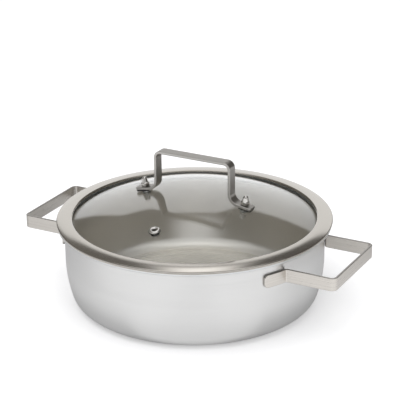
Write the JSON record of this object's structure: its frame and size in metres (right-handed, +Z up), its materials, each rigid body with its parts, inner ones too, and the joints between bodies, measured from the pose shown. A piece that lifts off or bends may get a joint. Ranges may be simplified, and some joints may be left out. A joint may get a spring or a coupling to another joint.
{
  "type": "shallow casserole pot",
  "caption": "Wide low stainless cooking pot with strap side handles and a lift-off domed glass lid that has a steel rim band, a strap handle and a steam vent.",
  "frame": {"origin": "middle of the flat base, on the surface that the pot stands on", "axes": "+Z up along the pot's own axis, +X through the middle of the right side handle, -Y towards the steam vent of the lid"},
  "size_m": [0.3816, 0.3026, 0.1657],
  "materials": {
    "satin_steel": "satin, brushed round the pot and along the straps",
    "bright_steel": "polished stainless steel",
    "aluminium_core": "rolled, seen only at the edge of the lip",
    "tempered_glass": "clear, faintly green at the edge",
    "clear_silicone": "translucent, matt",
    "dark_silicone": "matt"
  },
  "bodies": {
    "pot": {"pot_outer_ply": "satin_steel", "pot_core_ply": "aluminium_core", "pot_inner_ply": "satin_steel", "side_handle_left": "satin_steel", "side_handle_right": "satin_steel"},
    "lid": {"lid_glass": "tempered_glass", "lid_rim_band": "bright_steel", "lid_rim_seal": "dark_silicone", "lid_handle": "satin_steel", "handle_bolt_left": "bright_steel", "handle_bolt_right": "bright_steel", "acorn_nut_left": "bright_steel", "acorn_nut_right": "bright_steel", "foot_gasket_left": "dark_silicone", "foot_gasket_right": "dark_silicone", "bolt_grommet_left": "clear_silicone", "bolt_grommet_right": "clear_silicone", "backing_washer_left": "bright_steel", "backing_washer_right": "bright_steel", "vent_seal": "dark_silicone", "vent_eyelet": "bright_steel"}
  },
  "joints": [
    {"name": "lid_lift", "type": "slide", "parent": "pot", "child": "lid", "axis": [0, 0, 1], "range_m": [0, 0.15]}
  ]
}
